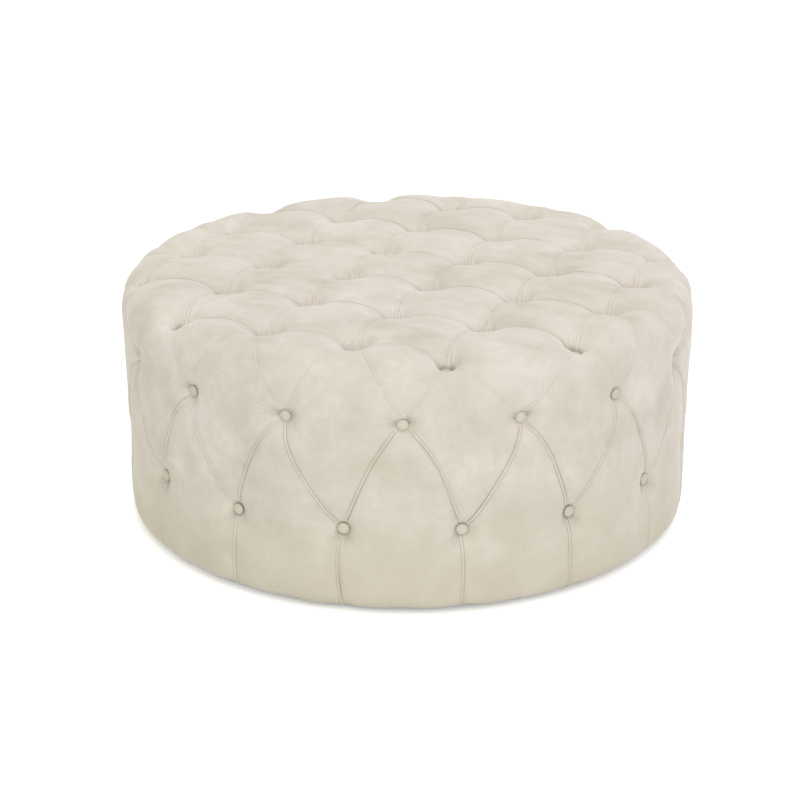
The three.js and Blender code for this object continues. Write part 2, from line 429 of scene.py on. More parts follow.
def sink(points, normals):
    """How far each base point moves: valleys along the pleats and dimples at the buttons."""
    valley = np.zeros(len(points))
    for start, end, kind in PLEATS:
        middle, end_depth, width = VALLEY[kind]
        line = pleat_line(start, end)
        some = close_to(points, line, width)
        d, t, _ = nearest_on(line, points[some])
        away = from_button(t, line, kind)
        depth = middle + (end_depth - middle) * np.exp(-away / VALLEY_REACH)
        u = np.clip(1 - d / width, 0, 1)
        fall = 1 - (1 - u ** PILLOW_POWER) ** (1 / PILLOW_POWER)
        valley[some] += (depth * fall) ** VALLEY_BLEND
    valley = valley ** (1 / VALLEY_BLEND)
    move = np.zeros_like(points)
    share = np.zeros(len(points))
    for node, point, out, depth, reach in button_nodes():
        some = close_to(points, point[None], DIMPLE_SPREAD)
        r = np.linalg.norm(points[some] - point, axis=1)
        away = np.clip(r - FLAT, 0, None) / reach
        pull = np.exp(-away if node[0] == "top" else -away ** SIDE_ROUND)
        move[some] -= out * (depth * pull)[:, None]
        share[some] += pull
    return move - normals * (valley * (1 - np.clip(share, 0, 1)))[:, None]


def ease_wall(theta, s):
    """The wall's slight taper towards the hem, and the hem's sag between its pleats."""
    share = np.clip((s - S_WALL) / (S_ROLL - S_WALL), 0, 0.5)
    out = np.stack([np.cos(theta), np.sin(theta), np.zeros_like(theta)], -1)
    move = -out * (WALL_EASE * np.sin(math.pi * share))[:, None]
    lowest = S_HEM - SAG_BELOW
    hang = np.clip(1 - np.abs(s - lowest) / np.where(s > lowest, SAG_BELOW, SAG_ABOVE), 0, 1)
    between_pleats = np.abs(np.cos(theta * SIDE_COUNT / 2)) ** 0.7
    move[:, 2] -= HEM_SAG * between_pleats * hang ** 2 * (3 - 2 * hang)
    return move


# ---- mesh helpers -------------------------------------------------------------------------
def new_mesh(name, points, faces):
    mesh = bpy.data.meshes.new(name)
    mesh.from_pydata(np.asarray(points).tolist(), [], [list(map(int, f)) for f in faces])
    mesh.validate()
    obj = bpy.data.objects.new(name, mesh)
    bpy.context.scene.collection.objects.link(obj)
    return obj


def vectors_of(items, count, key):
    out = np.zeros(count * 3, np.float32)
    items.foreach_get(key, out)
    return out.reshape(-1, 3).astype(float)


def points_of(mesh):
    return vectors_of(mesh.vertices, len(mesh.vertices), "co")


def set_points(mesh, points):
    mesh.vertices.foreach_set("co", points.astype(np.float32).ravel())
    mesh.update()


def add_vector(mesh, name, values):
    layer = mesh.attributes.new(name, "FLOAT_VECTOR", "POINT")
    layer.data.foreach_set("vector", values.astype(np.float32).ravel())


def add_float(mesh, name, values):
    layer = mesh.attributes.new(name, "FLOAT", "POINT")
    layer.data.foreach_set("value", values.astype(np.float32))


def read_vector(mesh, name):
    return vectors_of(mesh.attributes[name].data, len(mesh.vertices), "vector")


def evaluated(obj):
    """A new mesh of the object with its modifiers applied."""
    graph = bpy.context.evaluated_depsgraph_get()
    return bpy.data.meshes.new_from_object(obj.evaluated_get(graph), depsgraph=graph)


def smooth(obj):
    obj.data.polygons.foreach_set("use_smooth", [True] * len(obj.data.polygons))


# ---- cloth --------------------------------------------------------------------------------
def relax(obj, pinned, frames=16, cap=1.8 * MM):
    """Puffs the cover between its pinned points with the cloth solver; cap limits the move."""
    rest = points_of(obj.data)
    group = obj.vertex_groups.new(name="pinned")
    group.add(pinned.tolist(), 1.0, "REPLACE")
    cloth = obj.modifiers.new("cloth", "CLOTH")
    settings = cloth.settings
    settings.quality = 6
    settings.mass = 0.25
    settings.tension_stiffness = 12
    settings.compression_stiffness = 12
    settings.shear_stiffness = 4
    settings.bending_stiffness = 0.3
    settings.vertex_group_mass = "pinned"
    settings.use_pressure = True
    settings.uniform_pressure_force = 2.5
    settings.shrink_min = -0.02
    settings.effector_weights.gravity = 0
    cloth.collision_settings.use_collision = False
    cloth.collision_settings.use_self_collision = False
    cloth.point_cache.frame_end = frames
    scene = bpy.context.scene
    for frame_number in range(1, frames + 1):
        scene.frame_set(frame_number)
    done = evaluated(obj)
    moved = points_of(done) - rest
    bpy.data.meshes.remove(done)
    obj.modifiers.remove(cloth)
    obj.vertex_groups.remove(group)
    scene.frame_set(1)
    far = np.linalg.norm(moved, axis=1, keepdims=True)
    moved *= np.minimum(1, cap / np.maximum(far, 1e-9))
    set_points(obj.data, rest + moved)


# ---- pleat folds and wrinkles -------------------------------------------------------------
def bump(x, width):
    return np.exp(-(x / width) ** 2)


def tuck(x):
    """Height across a pleat: a deep groove, the lip beside it and a shallow second groove."""
    return (-1.4 * bump(x, 1.1 * MM) + 1.5 * bump(x - 2.5 * MM, 1.5 * MM)
            - 1.0 * bump(x - 5.0 * MM, 1.2 * MM)) * MM


def gathers(x):
    """Height across the loose folds that a pleat opens into at its buttons."""
    spacing = 7 * MM
    height = 1.3 * MM
    return height * np.cos(2 * math.pi * x / spacing) * bump(x, 11 * MM)


# Size of the tuck and of the gathers along each kind of pleat
FOLD_SIZE = {
    "row": (0.55, 0.9),
    "column": (0.35, 0.9),
    "rim": (0.3, 0.35),
    "side": (0.95, 0.35),
    "hem": (0.8, 0.3),
}
# How strongly the painted shade on the tuck's two edges and the painted highlight on its lip show
# along each kind of pleat
TUCK_SHADING_SIZE = {"row": 0.35, "column": 0.3, "rim": 0.22, "side": 0.8, "hem": 0.65}


def across_pleat(line, t, foot, points, normals):
    """Signed distance of points from a pleat's line, measured along the surface."""
    tangent = np.gradient(line, axis=0)
    tangent /= np.linalg.norm(tangent, axis=1, keepdims=True)
    steps = len(line) - 1
    tangent = tangent[np.clip((t * steps).astype(int), 0, steps)]
    return np.einsum("ij,ij->i", points - foot, np.cross(normals, tangent))


def pleat_folds(points, normals):
    """A narrow tuck along every pleat, opening into gathers at the buttons.

    Gives the height, and for the material the distance from the tuck and how strongly its painted
    shade and painted highlight show.
    """
    lift = np.zeros(len(points))
    aside = np.ones(len(points))
    tuck_shading = np.zeros(len(points))
    for start, end, kind in PLEATS:
        line = pleat_line(start, end, 24)
        some = close_to(points, line, 26 * MM)
        _, t, foot = nearest_on(line, points[some])
        side = 1 if RNG.random() < 0.5 else -1
        x = side * across_pleat(line, t, foot, points[some], normals[some])
        away = from_button(t, line, kind)
        clear = rise(away, CLEAR, 8 * MM)
        wander = 1 + 0.2 * np.sin(t * 9 + RNG.uniform(0, 6))
        opening = 1 - rise(away, 22 * MM, 26 * MM)
        shift = x + 1.2 * MM * np.sin(t * 7 + RNG.uniform(0, 6))
        tuck_size, gather_size = FOLD_SIZE[kind]
        lift[some] += tuck(x) * tuck_size * wander * clear
        lift[some] += gathers(shift) * gather_size * opening * clear
        closer = np.abs(x) < np.abs(aside[some])
        aside[some[closer]] = x[closer]
        # How strongly the tuck's painted shade and painted highlight show here
        near = np.clip(3 - np.abs(x - LIP) / (3.5 * MM), 0, 1)
        fading = RNG.uniform(0.4, 1.0) + 0.25 * np.sin(t * 5 + RNG.uniform(0, 6))
        tuck_shading[some[closer]] = (near * clear * TUCK_SHADING_SIZE[kind] * fading)[closer]
    return lift, aside, tuck_shading


def face_axes(node, out):
    """The directions across and up a button's face."""
    across = np.array([1.0, 0, 0]) if node[0] == "top" else np.cross([0, 0, 1.0], out)
    return across, np.cross(out, across)


def fan_angles(node):
    """The directions in which fine creases fan out from a button, between its pleats."""
    choices = FAN_DEGREES[node[0]]
    first = RNG.integers(2)
    angles = [choices[first]]
    if RNG.random() < 0.6:
        angles.append(choices[1 - first])
    return [math.radians(a + RNG.uniform(-12, 12)) for a in angles]


def fans(points):
    """How strong the fine creases round the buttons are, and the place around the button."""
    strength = np.zeros(len(points))
    around = np.zeros((len(points), 3))
    nearest = np.full(len(points), np.inf)
    for node, point, out, _, _ in button_nodes():
        some = close_to(points, point[None], 70 * MM)
        local = points[some] - point
        across, up = face_axes(node, out)
        x, y = local @ across, local @ up
        r = np.hypot(x, y)
        closer = r < nearest[some]
        some, x, y, r = some[closer], x[closer], y[closer], r[closer]
        nearest[some] = r
        around[some] = np.stack([x, y, np.zeros_like(x)], -1)
        strength[some] = 0
        phi = np.arctan2(y, x)
        strong = 0.6 if node[0] == "top" else 1
        for middle in fan_angles(node):
            spread = np.clip(1.5 - np.abs(turn_near(phi - middle, 0)) / math.radians(30), 0, 1)
            reach = RNG.uniform(34, 46) * MM
            fade = rise(r, CLEAR, 4 * MM) * np.clip(1.15 - r / reach, 0, 1)
            raise_to(strength, some, spread * fade * strong)
    return strength, around


def wrinkles(points):
    """Longer, softer creases that run out from each button."""
    lift = np.zeros(len(points))
    for node, point, out, _, _ in button_nodes():
        some = close_to(points, point[None], 75 * MM)
        across, up = face_axes(node, out)
        local = points[some] - point
        x, y = local @ across, local @ up
        r = np.hypot(x, y)
        phi = np.arctan2(y, x)
        for _ in range(8 if node[0] == "top" else 5):
            length = RNG.uniform(30, 64) * MM
            width = RNG.uniform(2.2, 3.6) * MM
            height = RNG.uniform(0.5, 1.3) * MM
            turn = phi - RNG.uniform(-math.pi, math.pi)
            along = r * np.cos(turn)
            aside = r * np.sin(turn) + (along / length) ** 2 * RNG.uniform(-6, 6) * MM
            shape = bump(aside, width) - 0.6 * bump(aside - 2 * width, width)
            fade = rise(along, CLEAR, 7 * MM) * np.clip(1 - along / length, 0, 1)
            lift[some] += height * shape * fade
    return lift


def unevenness(points, scale, count=14):
    """A smooth random field, mostly from -1 to 1: the sum of some waves in random directions."""
    total = np.zeros(len(points))
    for _ in range(count):
        direction = RNG.normal(size=3)
        direction /= np.linalg.norm(direction)
        wavelength = scale * RNG.uniform(0.7, 1.4)
        start = RNG.uniform(0, 2 * math.pi)
        total += np.sin(points @ direction * (2 * math.pi / wavelength) + start)
    return total / math.sqrt(count) / 1.5


def base_of(points):
    """Angle and arc length of points on, or close to, the plain drum."""
    r = np.hypot(points[:, 0], points[:, 1])
    theta = np.arctan2(points[:, 1], points[:, 0])
    z = points[:, 2]
    tiny = 1e-6
    rim = S_RIM + RIM * np.arctan2(np.clip(r - S_RIM, 0, None), np.clip(z - (TOP - RIM), tiny, None))
    wall = wall_s(z)
    roll = S_ROLL + HEM * np.arctan2(HEM_Z + HEM - z, np.clip(r - (RADIUS - HEM), tiny, None))
    under = S_HEM + (RADIUS - HEM - r)
    s = np.where(z > TOP - RIM, np.where(r < S_RIM, r, rim), wall)
    s = np.where(z < HEM_Z + HEM, np.where(r > RADIUS - HEM, roll, under), s)
    return theta, s


def make_cover():
    """The cover, with what the foam is made from: its base points, coarse points and faces."""
    grids = [grid for cell in find_cells() for grid in cell_points(cell)]
    polar, faces = weld(grids + list(under_strips()))
    theta, s = polar.T
    base, normals = place(theta, s)
    points = base + sink(base, normals) + ease_wall(theta, s)
    cover = new_mesh("velvet_cover_cloth", points, faces)
    add_vector(cover.data, "base", base)
    pinned = pinned_points(base) | (s > S_HEM - 1 * MM)
    relax(cover, np.nonzero(pinned)[0])
    coarse = points_of(cover.data)
    divide = cover.modifiers.new("divide", "SUBSURF")
    divide.levels = divide.render_levels = DETAIL
    divide.boundary_smooth = "PRESERVE_CORNERS"
    fine = evaluated(cover)
    cover.modifiers.clear()
    old = cover.data
    cover.data = fine
    bpy.data.meshes.remove(old)
    fine.name = "velvet_cover_cloth"
    add_details(cover)
    return cover, base, coarse, faces


def pinned_points(base):
    """True along the row pleats and under the buttons."""
    pinned = np.zeros(len(base), bool)
    for start, end, kind in PLEATS:
        if kind != "row":
            continue
        line = pleat_line(start, end, 32)
        some = close_to(base, line, 3 * MM)
        pinned[some[nearest_on(line, base[some])[0] < 0.8 * MM]] = True
    for _, point, _, _, _ in button_nodes():
        pinned |= np.linalg.norm(base - point, axis=1) < FLAT
    return pinned


def add_details(cover):
    """Folds, wrinkles and unevenness in the mesh, and the attributes that the velvet reads, among them
    its painted shade and painted light.
    """
    mesh = cover.data
    theta, s = base_of(read_vector(mesh, "base"))
    on_drum, drum_normals = place(theta, s)
    normals = vectors_of(mesh.vertices, len(mesh.vertices), "normal")
    lift, aside, tuck_shading = pleat_folds(on_drum, drum_normals)
    lift += wrinkles(on_drum)
    lift += 0.9 * MM * unevenness(on_drum, 130 * MM) + 0.25 * MM * unevenness(on_drum, 38 * MM)
    outside = 1 - rise(s, S_HEM - 8 * MM, 8 * MM)
    direction = 0.5 * normals + 0.5 * drum_normals
    set_points(mesh, points_of(mesh) + direction * (lift * outside)[:, None])
    strength, around = fans(on_drum)
    add_float(mesh, "tuck_aside", aside)
    add_float(mesh, "tuck", tuck_shading)
    add_float(mesh, "painted_shade", painted_hollow_shade(on_drum))
    add_float(mesh, "painted_light", painted_slope_light(on_drum))
    add_float(mesh, "fan", strength)
    add_vector(mesh, "around", around)
    smooth(cover)


def side_button_shade(points, button, out):
    """Painted shade in the well round a side button, stronger to one side of it, and a painted dark
    ring at its edge.
    """
    r = np.linalg.norm(points - button, axis=1)
    well = 0.3 * np.exp(-np.clip(r - FLAT, 0, None) / SIDE_REACH)
    # Painted shade to one side of the button and below it
    shaded = button + 8 * MM * np.cross([0, 0, 1.0], out) - [0, 0, 3 * MM]
    shade = 0.8 * bump(np.linalg.norm(points - shaded, axis=1), 17 * MM)
    # A painted dark ring of shade just outside the button's edge
    edge = 0.3 * bump(r - BUTTON_R - 1 * MM, 1.5 * MM)
    return np.maximum(np.maximum(well, shade), edge)


def painted_hollow_shade(points):
    """Painted shade: 0 on the pillows, higher in a pleat, and highest in a dimple."""
    deep = np.zeros(len(points))
    for start, end, kind in PLEATS:
        line = pleat_line(start, end)
        some = close_to(points, line, 30 * MM)
        d, t, _ = nearest_on(line, points[some])
        # Painted shade along every pleat, darker on the side and at the hem
        dark = 0.3 if kind in ("side", "hem") else 0.15
        raise_to(deep, some, dark * np.exp(-d / (7 * MM)))
        # A painted line of shade along a row pleat, widest and darkest near its buttons
        if kind == "row":
            away = from_button(t, line, kind)
            width = 2.6 * MM + 4 * MM * bump(away, 20 * MM)
            raise_to(deep, some, 2.4 * bump(d, width) * np.exp(-away / (24 * MM)))
    for node, point, out, _, _ in button_nodes():
        some = close_to(points, point[None], 90 * MM)
        if node[0] == "top":
            # Painted shade at the bottom of a top dimple
            r = np.linalg.norm(points[some] - point, axis=1)
            raise_to(deep, some, 2.4 * np.exp(-(r / (13 * MM)) ** 6))
        else:
            raise_to(deep, some, side_button_shade(points[some], point, out))
    return deep


def painted_slope_light(points):
    """From 0 to 1 on the walls of the dimples: painted light that lightens the shade in them."""
    light = np.zeros(len(points))
    for node, point, _, _, _ in button_nodes():
        some = close_to(points, point[None], 90 * MM)
        r = np.linalg.norm(points[some] - point, axis=1)
        band = rise(r, 9 * MM, 6 * MM) * np.exp(-np.clip(r - 16 * MM, 0, None) / (14 * MM))
        raise_to(light, some, band if node[0] == "top" else 0.7 * band)
    return light


# ---- materials ----------------------------------------------------------------------------
class Nodes:
    """A short way to write the node tree of a material or of the world."""

    def __init__(self, owner):
        owner.use_nodes = True
        self.tree = owner.node_tree

    def add(self, kind, **settings):
        node = self.tree.nodes.new("ShaderNode" + kind)
        for key, value in settings.items():
            setattr(node, key, value)
        return node

    def link(self, source, target):
        self.tree.links.new(source, target)

    def feed(self, value, socket):
        """Links an output to the socket, or sets the socket to a colour or number."""
        if hasattr(value, "links"):
            self.link(value, socket)
        elif isinstance(value, tuple):
            socket.default_value = (*value, 1)
        else:
            socket.default_value = value

    def math(self, operation, a, b):
        node = self.add("Math", operation=operation)
        self.feed(a, node.inputs[0])
        self.feed(b, node.inputs[1])
        return node.outputs[0]

    def mix(self, factor, a, b):
        node = self.add("Mix", data_type="RGBA")
        self.feed(factor, node.inputs["Factor"])
        self.feed(a, node.inputs[6])
        self.feed(b, node.inputs[7])
        return node.outputs[2]


class MaterialNodes(Nodes):
    """The nodes of a new material, round its Principled BSDF."""

    def __init__(self, name):
        self.material = bpy.data.materials.new(name)
        super().__init__(self.material)
        self.shader = self.tree.nodes["Principled BSDF"]

    def position(self):
        return self.add("TexCoord").outputs["Object"]

    def attribute(self, name):
        return self.add("Attribute", attribute_name=name)

    def height_range(self, start, end):
        """0 at the start height, 1 at the end height."""
        place = self.add("SeparateXYZ")
        self.link(self.position(), place.inputs[0])
        between = self.add("MapRange")
        self.link(place.outputs["Z"], between.inputs["Value"])
        between.inputs["From Min"].default_value = start
        between.inputs["From Max"].default_value = end
        return between.outputs[0]

    def noise(self, scale, detail=3.0, rough=0.5, stretch=None):
        vector = self.position()
        if stretch:
            mapping = self.add("Mapping")
            mapping.inputs["Scale"].default_value = stretch
            self.link(vector, mapping.inputs["Vector"])
            vector = mapping.outputs["Vector"]
        node = self.add("TexNoise")
        node.inputs["Scale"].default_value = scale
        node.inputs["Detail"].default_value = detail
        node.inputs["Roughness"].default_value = rough
        self.link(vector, node.inputs["Vector"])
        return node.outputs["Fac"]

    def ramp(self, value, *stops):
        """Colours by value; each stop is (value, colour)."""
        node = self.add("ValToRGB")
        elements = node.color_ramp.elements
        while len(elements) < len(stops):
            elements.new(0.5)
        for element, (at, color) in zip(elements, stops):
            element.position = at
            element.color = (*color, 1)
        self.link(value, node.inputs["Fac"])
        return node.outputs["Color"]

    def mask(self, value, low, high):
        """Black below the low value, white above the high one."""
        return self.ramp(value, (low, (0, 0, 0)), (high, (1, 1, 1)))

    def layer(self, colour, mask, amount, tone):
        """The colour with a tone mixed in where the mask is white."""
        return self.mix(self.math("MULTIPLY", mask, amount), colour, linear(*tone))

    def bump(self, height, strength, distance):
        node = self.add("Bump")
        node.inputs["Strength"].default_value = strength
        node.inputs["Distance"].default_value = distance
        self.link(height, node.inputs["Height"])
        self.link(node.outputs["Normal"], self.shader.inputs["Normal"])

    def set(self, **values):
        """Sets sockets of the shader; an underscore stands for a space in a socket's name."""
        for key, value in values.items():
            self.shader.inputs[key.replace("_", " ")].default_value = value


def linear(red, green, blue):
    """A colour given as 8-bit display values, by the sRGB curve."""
    return tuple(((c / 255 + 0.055) / 1.055) ** 2.4 if c > 10 else c / 255 / 12.92
                 for c in (red, green, blue))


def fan_creases(n):
    """Fine creases around the buttons, from -1 to 1, already faded out away from them."""
    around = n.add("SeparateXYZ")
    n.link(n.attribute("around").outputs["Vector"], around.inputs[0])
    angle = n.math("ARCTAN2", around.outputs["Y"], around.outputs["X"])
    wander = n.math("MULTIPLY", n.noise(38, 1.0), 5.0)
    wave = n.math("SINE", n.math("ADD", n.math("MULTIPLY", angle, 33.0), wander), 0.0)
    return n.math("MULTIPLY", wave, n.attribute("fan").outputs["Fac"])


def line_at(n, aside, place, width):
    """1 on a line that runs beside a pleat at the given distance, fading to 0 beside it."""
    x = n.math("DIVIDE", n.math("SUBTRACT", aside, place), width)
    return n.math("EXPONENT", n.math("MULTIPLY", n.math("MULTIPLY", x, x), -1.0), 0.0)


def nap(n):
    """Colour and height of the brushed pile: patches, brush marks, streaks, mottle and weave."""
    colour = n.ramp(n.noise(10, 4.0, 0.6), (0.34, linear(171, 164, 153)), (0.5, linear(183, 176, 168)),
                    (0.66, linear(193, 186, 181)))
    colour = n.layer(colour, n.mask(n.noise(2.3, 2.0, 0.5), 0.4, 0.62), 0.35, (178, 172, 157))
    streaks = n.mask(n.noise(22, 4.0, 0.6, stretch=(1, 1, 0.3)), 0.38, 0.66)
    colour = n.layer(colour, streaks, 0.28, (171, 164, 149))
    colour = n.layer(colour, n.mask(n.noise(60, 4.0, 0.65), 0.4, 0.62), 0.24, (164, 158, 144))
    weave = n.math("MULTIPLY", n.noise(1.0, 2.0, stretch=(160, 160, 14)),
                   n.noise(1.0, 2.0, stretch=(14, 160, 160)))
    colour = n.layer(colour, weave, 0.45, (166, 159, 143))
    pile = n.math("ADD", n.noise(700, 3.0, 0.7), n.math("MULTIPLY", n.noise(140, 2.0, 0.6), 1.5))
    return colour, n.math("MULTIPLY", pile, 0.14 * MM)


def tufting_streaks_and_shade(n, colour):
    """Streaks across the top, painted light on the dimples' walls, painted shade in dimples and
    pleats, and painted shade, darker and greener, towards the hem.
    """
    across = n.mask(n.noise(30, 4.0, 0.6, stretch=(0.3, 1, 1)), 0.4, 0.6)
    on_top = n.math("MULTIPLY", across, n.height_range(0.36, 0.42))
    colour = n.layer(colour, on_top, 0.20, (200, 193, 189))
    # Painted light on the dimples' walls, against their shade
    colour = n.layer(colour, n.attribute("painted_light").outputs["Fac"], 0.62, (204, 197, 188))
    # Painted shade in the dimples, along the pleats and round the buttons
    colour = n.layer(colour, n.attribute("painted_shade").outputs["Fac"], 0.36, (132, 126, 107))
    # Painted shade, darker and greener towards the hem
    return n.layer(colour, n.height_range(0.2, 0.0), 0.6, (168, 162, 141))


def painted_fold_shading(n, colour, creases):
    """Painted shade in the grooves of the fine creases, and on each tuck a painted highlight on its
    lip between painted shade on its two edges.
    """
    # Painted shade in the fine creases' grooves
    groove = n.math("MAXIMUM", n.math("MULTIPLY", creases, -0.4), 0.0)
    colour = n.mix(groove, colour, linear(148, 142, 122))
    tuck_shading_shows = n.attribute("tuck").outputs["Fac"]
    aside = n.attribute("tuck_aside").outputs["Fac"]
    # Painted highlight on the tuck's lip
    lip = n.math("MULTIPLY", line_at(n, aside, LIP, 1.4 * MM), tuck_shading_shows)
    colour = n.layer(colour, lip, 0.4, (212, 205, 196))
    # Painted shade on the tuck's two edges
    edges = n.math("ADD", line_at(n, aside, 0.0, 0.8 * MM), line_at(n, aside, SECOND_GROOVE, 0.7 * MM))
    return n.layer(colour, n.math("MULTIPLY", edges, tuck_shading_shows), 0.5, (106, 100, 78))


def velvet(name, on_cover):
    """The velvet; on the cover it also shows what the mesh's attributes say, mostly painted shade and
    painted light.
    """
    n = MaterialNodes(name)
    colour, height = nap(n)
    if on_cover:
        creases = fan_creases(n)
        colour = painted_fold_shading(n, tufting_streaks_and_shade(n, colour), creases)
        height = n.math("ADD", height, n.math("MULTIPLY", creases, 0.7 * MM))
    else:
        colour = n.mix(0.5, colour, linear(173, 167, 147))
    n.link(colour, n.shader.inputs["Base Color"])
    n.set(Roughness=0.92, Specular_IOR_Level=0.2, Sheen_Weight=0.2, Sheen_Roughness=0.45)
    n.set(Sheen_Tint=(*linear(250, 246, 242), 1))
    n.bump(height, 1.0, 1.0)
    return n.material


def simple(name, low, high, scale, rough, stretch=None, bump_strength=0.2):
    """Two-tone grain for the pieces under the cover."""
    n = MaterialNodes(name)
    grain = n.noise(scale, 5.0, 0.6, stretch=stretch)
    tones = n.ramp(grain, (0.35, linear(*low)), (0.65, linear(*high)))
    n.link(tones, n.shader.inputs["Base Color"])
    n.set(Roughness=rough)
    n.bump(grain, bump_strength, 0.3 * MM)
    return n.material


# ---- buttons ------------------------------------------------------------------------------
def button_points(rings=14, sides=40):
    """A covered button, its back at height 0: points and faces, with tiny gathers at the edge."""
    profile = []
    for k in range(rings + 1):
        a = math.pi * k / rings
        height = (1 - math.cos(a)) / 2
        profile.append((BUTTON_R * math.sin(a) ** 0.72, BUTTON_T * height ** 0.8))
    points = [(0, 0, profile[0][1])]
    for r, z in profile[1:-1]:
        for n in range(sides):
            a = 2 * math.pi * n / sides
            gather = 1 + 0.012 * math.sin(a * 9 + 1.3) * (1 if z < 5 * MM else 0.4)
            points.append((r * gather * math.cos(a), r * gather * math.sin(a), z))
    points.append((0, 0, profile[-1][1]))
    faces = []
    top = 1 + (rings - 2) * sides
    for n in range(sides):
        m = (n + 1) % sides
        faces.append((0, 1 + m, 1 + n))
        for low in range(1, top, sides):
            high = low + sides
            faces.append((low + n, low + m, high + m, high + n))
        faces.append((top + n, top + m, len(points) - 1))
    return np.array(points), faces


def shank_points(width, bottom, top, sides=8):
    """A thin round shank along Z: points and faces."""
    points, faces = [], []
    for z in (bottom, top):
        for n in range(sides):
            a = 2 * math.pi * n / sides
            points.append((width / 2 * math.cos(a), width / 2 * math.sin(a), z))
    for n in range(sides):
        m = (n + 1) % sides
        faces.append((n, m, sides + m, sides + n))
    faces.append(tuple(range(sides))[::-1])
    faces.append(tuple(range(sides, 2 * sides)))
    return np.array(points), faces


def joined(parts):
    """Several parts, each of points and faces, as one."""
    points, faces, start = [], [], 0
    for part_points, part_faces in parts:
        points.append(part_points)
        faces += [tuple(i + start for i in f) for f in part_faces]
        start += len(part_points)
    return np.concatenate(points), faces


def side_button(kind, k, material):
    """A button on the side with the nail behind it."""
    node_name = f"{kind}_button_{k + 1:02d}"
    theta = side_angle(kind, k)
    seat = RADIUS - SIDE_DEPTH - SIDE_SEAT
    points, faces = joined([button_points(), shank_points(SHANK, -NAIL_LENGTH, 1 * MM)])
    out = np.array([math.cos(theta), math.sin(theta), 0])
    across = np.array([-math.sin(theta), math.cos(theta), 0])
    up = np.array([0, 0, 1.0])
    placed = points[:, :1] * across + points[:, 1:2] * up + (points[:, 2:] + seat) * out
    placed[:, 2] += middle_height(node_name)
    piece = new_mesh("covered_" + node_name, placed, faces)
    finish_piece(piece, material, "button", node_name)


def top_buttons(row, material):
    """A row of top buttons, each on its twine, and the twine that joins them under the deck."""
    node_name = f"top_button_row_{row + 1}"
    j = 2 * row - EDGE
    y = j * PITCH / 2
    seat = TOP - TOP_DEPTH - TOP_SEAT
    twine_z = ROW_LOWS[row].z + SHANK / 2
    xs = [i * PITCH / 2 for i in GRID_PLACES if has_top(i, j)]
    parts = []
    for x in xs:
        for points, faces in (button_points(), shank_points(SHANK, twine_z - seat, 1 * MM)):
            parts.append((points + [x, y, seat], faces))
    points, faces = shank_points(SHANK, xs[0], xs[-1])
    parts.append((points[:, [2, 0, 1]] + [0, y, twine_z], faces))
    piece = new_mesh("covered_" + node_name, *joined(parts))
    finish_piece(piece, material, "button", node_name)


def finish_piece(piece, material, slot, *nodes):
    """Gives a piece its material and body, and lets it stand for the named nodes."""
    smooth(piece)
    piece.data.materials.clear()
    piece.data.materials.append(material)
    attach(piece, "root")
    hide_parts(*nodes)


# ---- foam ---------------------------------------------------------------------------------
def foam_core(theta, s, bottom):
    """The inner side of the padding, against the deck and the bent panels."""
    gap = 0.5 * MM
    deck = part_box("top_deck")[1].z + gap
    core = max(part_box("side_panel_1")[1].x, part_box("side_panel_2")[1].x) + gap
    corner = S_RIM + RIM * 0.8
    r = core * np.clip(s / corner, 0, 1)
    z = deck - (deck - bottom) * np.clip((s - corner) / (S_HEM - corner), 0, 1)
    return np.stack([r * np.cos(theta), r * np.sin(theta), z], -1)


def closed_shell(outer, inner, faces):
    """Two sheets with the same faces, joined along their rim: points and faces."""
    count = len(outer)
    edges = dict.fromkeys((int(a), int(b)) for quad in faces for a, b in zip(quad, np.roll(quad, -1)))
    rim = [(a, b) for a, b in edges if (b, a) not in edges]
    shell = [tuple(quad) for quad in faces]
    shell += [tuple(quad[::-1] + count) for quad in faces]
    shell += [(b, a, a + count, b + count) for a, b in rim]
    return np.concatenate([outer, inner]), shell


def make_foam(base, coarse, faces, material):
    """The padding between the drum and the cover, closed all round."""
    skin = 8 * MM
    theta, s = base_of(base)
    _, normals = place(theta, s)
    outer = coarse - normals * skin
    inner = foam_core(theta, s, HEM_Z + skin)
    keep = s <= S_HEM + 0.1 * MM
    new_number = np.cumsum(keep) - 1
    kept_faces = new_number[faces[keep[faces].all(1)]]
    foam = new_mesh("foam_padding", *closed_shell(outer[keep], inner[keep], kept_faces))
    finish_piece(foam, material, "foam", "top_foam", "side_foam")


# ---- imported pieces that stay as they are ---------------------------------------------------
def paint_frame():
    looks = {
        "plywood": simple("birch_plywood", (196, 164, 118), (214, 186, 142), 14, 0.6, (1, 9, 9)),
        "timber": simple("planed_pine", (204, 170, 120), (224, 196, 150), 20, 0.6, (6, 6, 0.6)),
        "hardboard": simple("hardboard", (104, 76, 50), (128, 96, 66), 200, 0.5),
        "nonwoven": simple("spun_dust_cloth", (34, 34, 36), (52, 52, 54), 700, 0.95, None, 0.5),
        "plastic": simple("moulded_plastic", (36, 36, 36), (46, 46, 46), 400, 0.45, None, 0.08),
    }
    for part in frame["record"]["subparts"]:
        look = looks.get(part["material_slot"])
        if look:
            node = frame["nodes"][part["node"]]
            node.data.materials.clear()
            node.data.materials.append(look)


# ---- floor, camera and light ---------------------------------------------------------------
FLOOR_HALF = 12

# The view of the photo: its turn round the object, and the camera's place, tilt and lens
VIEW_AZIMUTH = math.radians(23.57)
VIEW_AWAY = 3.4417
VIEW_ASIDE = -0.0132
VIEW_HEIGHT = 1.5205
VIEW_DOWN = math.radians(21.25)
VIEW_LENS = 90.92  # in millimetres, on a sensor 36 mm wide

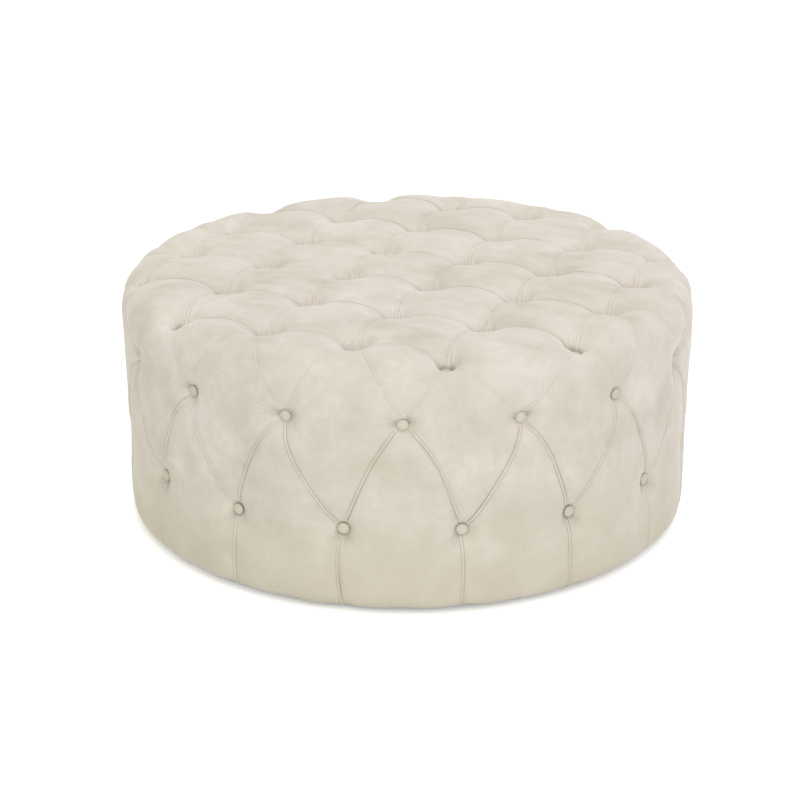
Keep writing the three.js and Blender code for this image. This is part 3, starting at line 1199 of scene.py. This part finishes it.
SUN_TURN = math.radians(34)
SUN_HEIGHT = math.radians(36)
STUDIO_FRONT = 1.67  # light from the front, the top and the back
STUDIO_RIGHT = 0.15  # how much more comes from the right than from the left
STUDIO_SIDES = 1.30  # how much less comes from both sides
LEFT_TINT = (0.98, 1.0, 0.87)
RIGHT_TINT = (1.0, 0.985, 1.08)


def make_stage():
    """A pale floor that gives off a little light, as in the photo the shadow is very faint."""
    h = FLOOR_HALF
    floor = new_mesh("floor", [(-h, -h, 0), (h, -h, 0), (h, h, 0), (-h, h, 0)], [(0, 1, 2, 3)])
    n = MaterialNodes("pale_floor")
    n.set(Roughness=1.0, Specular_IOR_Level=0.0, Base_Color=(0.8, 0.8, 0.8, 1))
    n.set(Emission_Color=(1, 1, 1, 1), Emission_Strength=0.25)
    floor.data.materials.append(n.material)


def add_looking(name, data, location, direction):
    """Adds a camera or a light that looks in a direction."""
    obj = bpy.data.objects.new(name, data)
    obj.location = location
    obj.rotation_mode = "QUATERNION"
    obj.rotation_quaternion = direction.to_track_quat("-Z", "Y")
    bpy.context.scene.collection.objects.link(obj)
    return obj


def make_camera():
    forward = Vector((-math.sin(VIEW_AZIMUTH), math.cos(VIEW_AZIMUTH), 0))
    right = Vector((math.cos(VIEW_AZIMUTH), math.sin(VIEW_AZIMUTH), 0))
    up = Vector((0, 0, 1))
    data = bpy.data.cameras.new("view")
    data.lens = VIEW_LENS
    data.sensor_width = 36
    location = right * VIEW_ASIDE - forward * VIEW_AWAY + up * VIEW_HEIGHT
    direction = forward * math.cos(VIEW_DOWN) - up * math.sin(VIEW_DOWN)
    bpy.context.scene.camera = add_looking("view", data, location, direction)


def make_sun():
    """A wide soft sun from the front, high on the right."""
    level = math.cos(SUN_HEIGHT)
    back = Vector((math.sin(SUN_TURN) * level, -math.cos(SUN_TURN) * level, math.sin(SUN_HEIGHT)))
    data = bpy.data.lights.new("soft_front_light", "SUN")
    data.energy = 0.95
    data.angle = math.radians(60)
    add_looking("soft_front_light", data, back * 5, -back)


def make_studio():
    """Surroundings that are dimmer to both sides, and yellower on the left than on the right."""
    world = bpy.data.worlds.new("studio")
    n = Nodes(world)
    dot = n.add("VectorMath", operation="DOT_PRODUCT")
    n.link(n.add("TexCoord").outputs["Generated"], dot.inputs[0])
    dot.inputs[1].default_value = (math.cos(VIEW_AZIMUTH), math.sin(VIEW_AZIMUTH), 0)
    side = dot.outputs["Value"]  # from -1 at the left to 1 at the right
    right = n.math("MULTIPLY", side, STUDIO_RIGHT)
    sides = n.math("MULTIPLY", n.math("MULTIPLY", side, side), -STUDIO_SIDES)
    strength = n.math("ADD", n.math("ADD", right, sides), STUDIO_FRONT)
    from_left = n.math("ADD", n.math("MULTIPLY", side, 0.5), 0.5)
    background = n.tree.nodes["Background"]
    n.link(strength, background.inputs["Strength"])
    n.link(n.mix(from_left, LEFT_TINT, RIGHT_TINT), background.inputs["Color"])
    bpy.context.scene.world = world


def main():
    make_camera()
    cover_velvet = velvet("cream_velvet", True)
    button_velvet = velvet("cream_velvet_button", False)
    cover, base, coarse, faces = make_cover()
    finish_piece(cover, cover_velvet, "velvet", "velvet_cover")
    foam = simple("upholstery_foam", (228, 216, 178), (241, 232, 200), 120, 0.95)
    make_foam(base, coarse, faces, foam)
    for k in range(SIDE_COUNT):
        side_button("upper", k, button_velvet)
        side_button("lower", k, button_velvet)
    for row in range(GRID):
        top_buttons(row, button_velvet)
    paint_frame()
    make_stage()
    make_studio()
    make_sun()
    bpy.context.scene.view_settings.view_transform = "Standard"


main()
